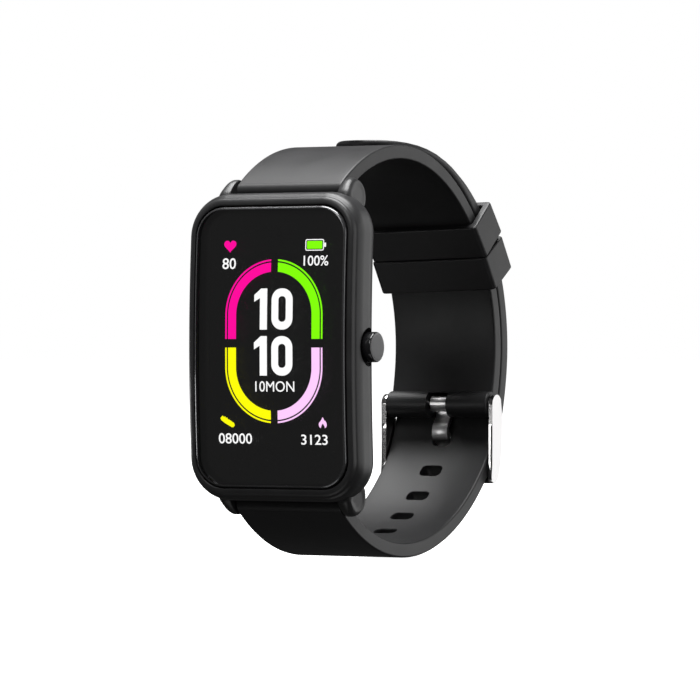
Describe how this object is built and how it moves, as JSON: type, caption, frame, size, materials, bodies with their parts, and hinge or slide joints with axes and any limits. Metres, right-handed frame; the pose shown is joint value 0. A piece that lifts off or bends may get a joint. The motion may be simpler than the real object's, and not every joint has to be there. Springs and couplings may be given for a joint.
{
  "type": "smartwatch",
  "caption": "Rectangular smartwatch with an arched glass front, one side button and a closed black silicone strap with a steel pin buckle and loose keepers.",
  "frame": {"origin": "the middle of the wrist that the closed strap holds, level with the middle of the case", "axes": "+Z towards 12 o'clock, -Y out of the screen, +X towards the side button; the strap closes around the X axis"},
  "size_m": [0.0306, 0.0616, 0.064],
  "materials": {
    "case": "fine matte black, slightly satin",
    "cover_glass": "polished black-bordered glass",
    "display": "unlit black panel",
    "gasket": "black adhesive foam",
    "silicone": "soft black silicone, satin",
    "steel": "polished steel",
    "spring_steel": "bare spring steel",
    "button": "glossy black barrel with a satin cap",
    "chassis": "bead-blasted grey",
    "board": "green solder mask",
    "flex": "amber polyimide film",
    "can": "tinned steel can",
    "gold": "gold plate",
    "rear_cover": "fine matte black",
    "sensor_glass": "smoked, polished",
    "lamp": "milky green lens"
  },
  "bodies": {
    "watch": {"case_frame": "case", "cover_glass": "cover_glass", "glass_gasket": "gasket", "display_panel": "display", "display_flex": "flex", "inner_chassis": "chassis", "main_board": "board", "processor_shield": "can", "battery": "can", "vibration_motor": "can", "antenna_strip": "gold", "rear_cover": "rear_cover", "rear_gasket": "gasket", "sensor_board": "board", "sensor_window": "sensor_glass", "sensor_lamp_left": "lamp", "sensor_lamp_right": "lamp", "sensor_photodiode": "sensor_glass", "charge_contact_left": "gold", "charge_contact_right": "gold", "charge_magnet_left": "can", "charge_magnet_right": "can", "cover_screw_1": "steel", "cover_screw_2": "steel", "cover_screw_3": "steel", "cover_screw_4": "steel", "button_seal": "gasket", "button_switch": "can", "button_flex": "flex", "strap_upper": "silicone", "strap_lower": "silicone", "upper_bar_tube": "steel", "upper_bar_spring": "spring_steel", "lower_bar_tube": "steel", "lower_bar_spring": "spring_steel", "buckle_bar_tube": "steel", "buckle_bar_spring": "spring_steel"},
    "button": {"side_button": "button", "button_clip": "spring_steel"},
    "keeper_upper": {"keeper_upper": "silicone"},
    "keeper_lower": {"keeper_lower": "silicone"},
    "buckle": {"buckle_frame": "steel"},
    "prong": {"buckle_prong": "steel"},
    "upper_tip_left": {"upper_bar_tip_left": "steel"},
    "upper_tip_right": {"upper_bar_tip_right": "steel"},
    "lower_tip_left": {"lower_bar_tip_left": "steel"},
    "lower_tip_right": {"lower_bar_tip_right": "steel"},
    "buckle_tip_left": {"buckle_bar_tip_left": "steel"},
    "buckle_tip_right": {"buckle_bar_tip_right": "steel"}
  },
  "joints": [
    {"name": "button_press", "type": "slide", "parent": "watch", "child": "button", "axis": [-1, 0, 0], "range_m": [0, 0.0005], "stiffness_N_per_m": 3000, "springref_m": -0.0003},
    {"name": "keeper_upper_slide", "type": "hinge", "parent": "watch", "child": "keeper_upper", "pos_m": [0, -0.00834, -0.00505], "axis": [1, 0, 0], "range_deg": [0, 16]},
    {"name": "keeper_lower_slide", "type": "hinge", "parent": "watch", "child": "keeper_lower", "pos_m": [0, -0.001, 0.00017], "axis": [-1, 0, 0], "range_deg": [0, 24]},
    {"name": "buckle_swing", "type": "hinge", "parent": "watch", "child": "buckle", "pos_m": [0, 0.02275, -0.0091], "axis": [1, 0, 0], "range_deg": [0, 3]},
    {"name": "prong_swing", "type": "hinge", "parent": "buckle", "child": "prong", "pos_m": [0, 0.02275, -0.0091], "axis": [1, 0, 0], "range_deg": [0, 3]},
    {"name": "upper_tip_left_retract", "type": "slide", "parent": "watch", "child": "upper_tip_left", "axis": [1, 0, 0], "range_m": [0, 0.0009], "stiffness_N_per_m": 1500, "springref_m": -0.0005, "deforming": ["upper_bar_spring"]},
    {"name": "upper_tip_right_retract", "type": "slide", "parent": "watch", "child": "upper_tip_right", "axis": [-1, 0, 0], "range_m": [0, 0.0009], "stiffness_N_per_m": 1500, "springref_m": -0.0005},
    {"name": "lower_tip_left_retract", "type": "slide", "parent": "watch", "child": "lower_tip_left", "axis": [1, 0, 0], "range_m": [0, 0.0009], "stiffness_N_per_m": 1500, "springref_m": -0.0005, "deforming": ["lower_bar_spring"]},
    {"name": "lower_tip_right_retract", "type": "slide", "parent": "watch", "child": "lower_tip_right", "axis": [-1, 0, 0], "range_m": [0, 0.0009], "stiffness_N_per_m": 1500, "springref_m": -0.0005},
    {"name": "buckle_tip_left_retract", "type": "slide", "parent": "watch", "child": "buckle_tip_left", "axis": [1, 0, 0], "range_m": [0, 0.0009], "stiffness_N_per_m": 1500, "springref_m": -0.0005, "deforming": ["buckle_bar_spring"]},
    {"name": "buckle_tip_right_retract", "type": "slide", "parent": "watch", "child": "buckle_tip_right", "axis": [-1, 0, 0], "range_m": [0, 0.0009], "stiffness_N_per_m": 1500, "springref_m": -0.0005}
  ]
}
